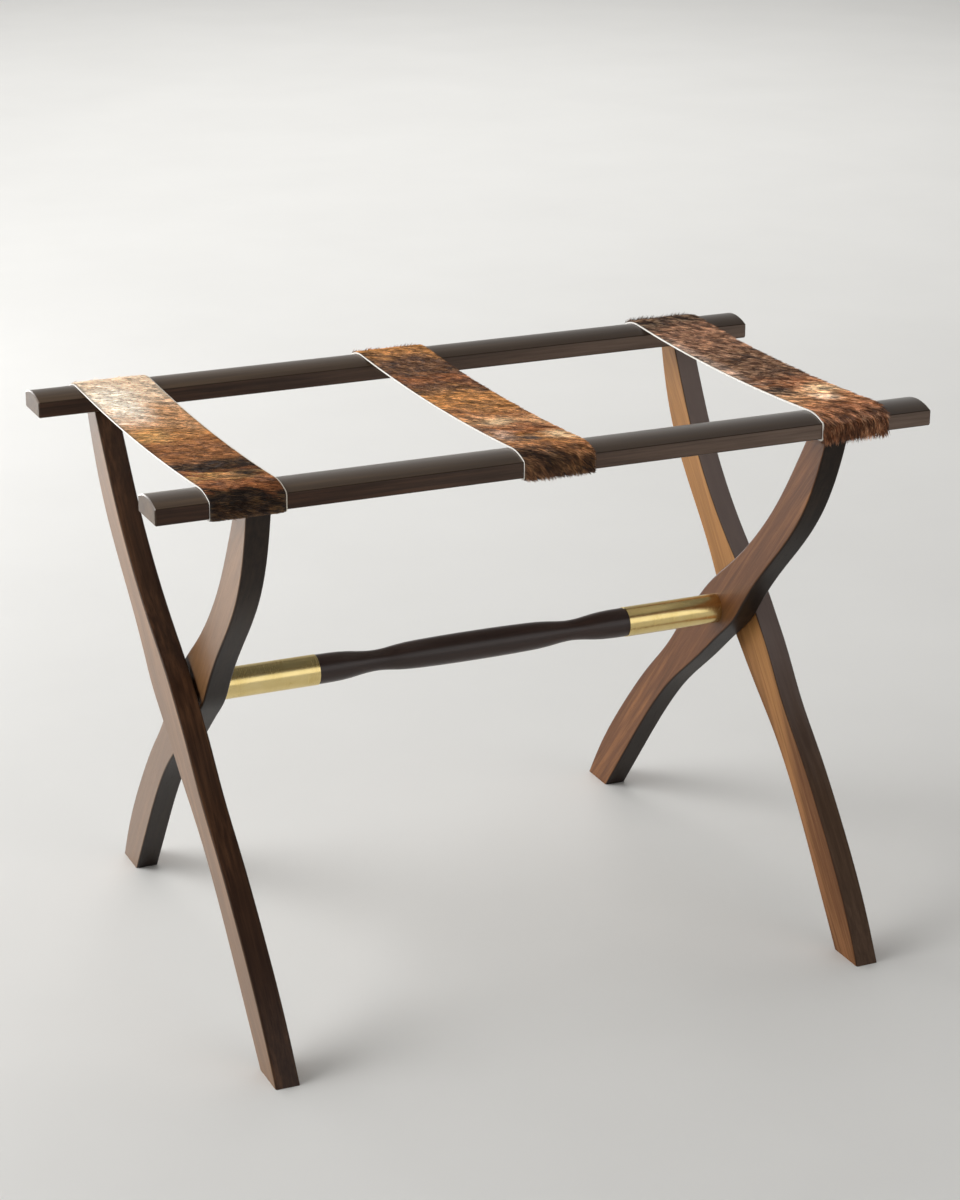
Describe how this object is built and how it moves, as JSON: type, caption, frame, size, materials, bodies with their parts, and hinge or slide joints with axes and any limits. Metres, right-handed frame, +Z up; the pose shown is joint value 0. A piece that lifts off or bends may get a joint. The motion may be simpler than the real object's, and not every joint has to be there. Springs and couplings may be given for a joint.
{
  "type": "luggage rack",
  "caption": "Folding luggage rack: curved wooden legs that cross on a turned stretcher with metal ferrules, two arched rails and hide straps.",
  "frame": {"origin": "on the floor, in the middle between the four feet", "axes": "+X along the rails to the right, +Y from the front rail to the back rail, +Z up"},
  "size_m": [0.7, 0.498, 0.4963],
  "materials": {
    "dark_walnut": "satin, dark espresso stain over walnut grain",
    "satin_brass": "satin, fine turned lines",
    "pin_steel": "turned",
    "bush_brass": "turned",
    "washer_nylon": "matte",
    "dowel_beech": "plain",
    "hair_hide": "short brindled hair, pale cut edge",
    "tack_steel": "dark, domed"
  },
  "bodies": {
    "outer_frame": {"back_rail": "dark_walnut", "outer_leg_left": "dark_walnut", "pivot_bush_left": "bush_brass", "outer_leg_dowels_left": "dowel_beech", "outer_leg_right": "dark_walnut", "pivot_bush_right": "bush_brass", "outer_leg_dowels_right": "dowel_beech", "back_tacks_left": "tack_steel", "strap_left": "hair_hide", "back_tacks_middle": "tack_steel", "strap_middle": "hair_hide", "back_tacks_right": "tack_steel", "strap_right": "hair_hide"},
    "inner_frame": {"front_rail": "dark_walnut", "stretcher": "dark_walnut", "inner_leg_left": "dark_walnut", "ferrule_left": "satin_brass", "pivot_pin_left": "pin_steel", "pivot_washer_left": "washer_nylon", "inner_leg_dowels_left": "dowel_beech", "inner_leg_right": "dark_walnut", "ferrule_right": "satin_brass", "pivot_pin_right": "pin_steel", "pivot_washer_right": "washer_nylon", "inner_leg_dowels_right": "dowel_beech", "front_tacks_left": "tack_steel", "front_tacks_middle": "tack_steel", "front_tacks_right": "tack_steel"}
  },
  "joints": [
    {"name": "fold", "type": "hinge", "parent": "outer_frame", "child": "inner_frame", "pos_m": [0, 0, 0.2607], "axis": [-1, 0, 0], "range_deg": [0, 62], "deforming": ["strap_left", "strap_middle", "strap_right"]}
  ]
}
